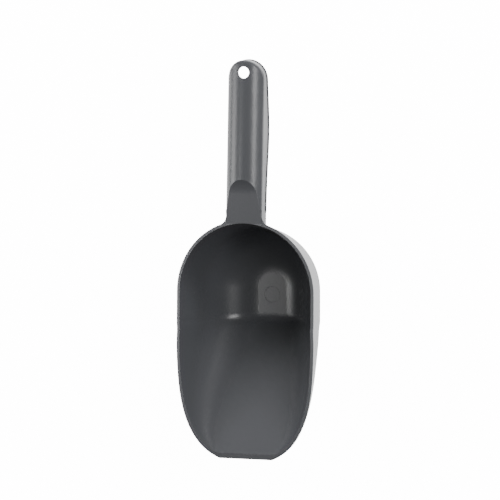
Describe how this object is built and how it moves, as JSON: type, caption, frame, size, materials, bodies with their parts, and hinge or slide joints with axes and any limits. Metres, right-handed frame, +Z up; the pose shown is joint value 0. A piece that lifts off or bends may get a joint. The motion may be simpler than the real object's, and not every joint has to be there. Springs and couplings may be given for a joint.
{
  "type": "ice scoop",
  "caption": "Deep moulded plastic scoop with a pouring lip, a flat resting pad, and a crowned hollow handle with a hanging hole.",
  "frame": {"origin": "middle of the scoop's width, on the resting face, under the middle of the flat pad", "axes": "+Z up out of the bowl, +Y towards the handle's tip, +X across the bowl"},
  "size_m": [0.1024, 0.2809, 0.0666],
  "materials": {
    "body_plastic": "dark grey injection-moulded polypropylene, satin gloss",
    "cover_plastic": "dark grey injection-moulded polypropylene, finer matt"
  },
  "bodies": {
    "root": {"scoop_body": "body_plastic", "handle_back_cover": "cover_plastic"}
  },
  "joints": []
}
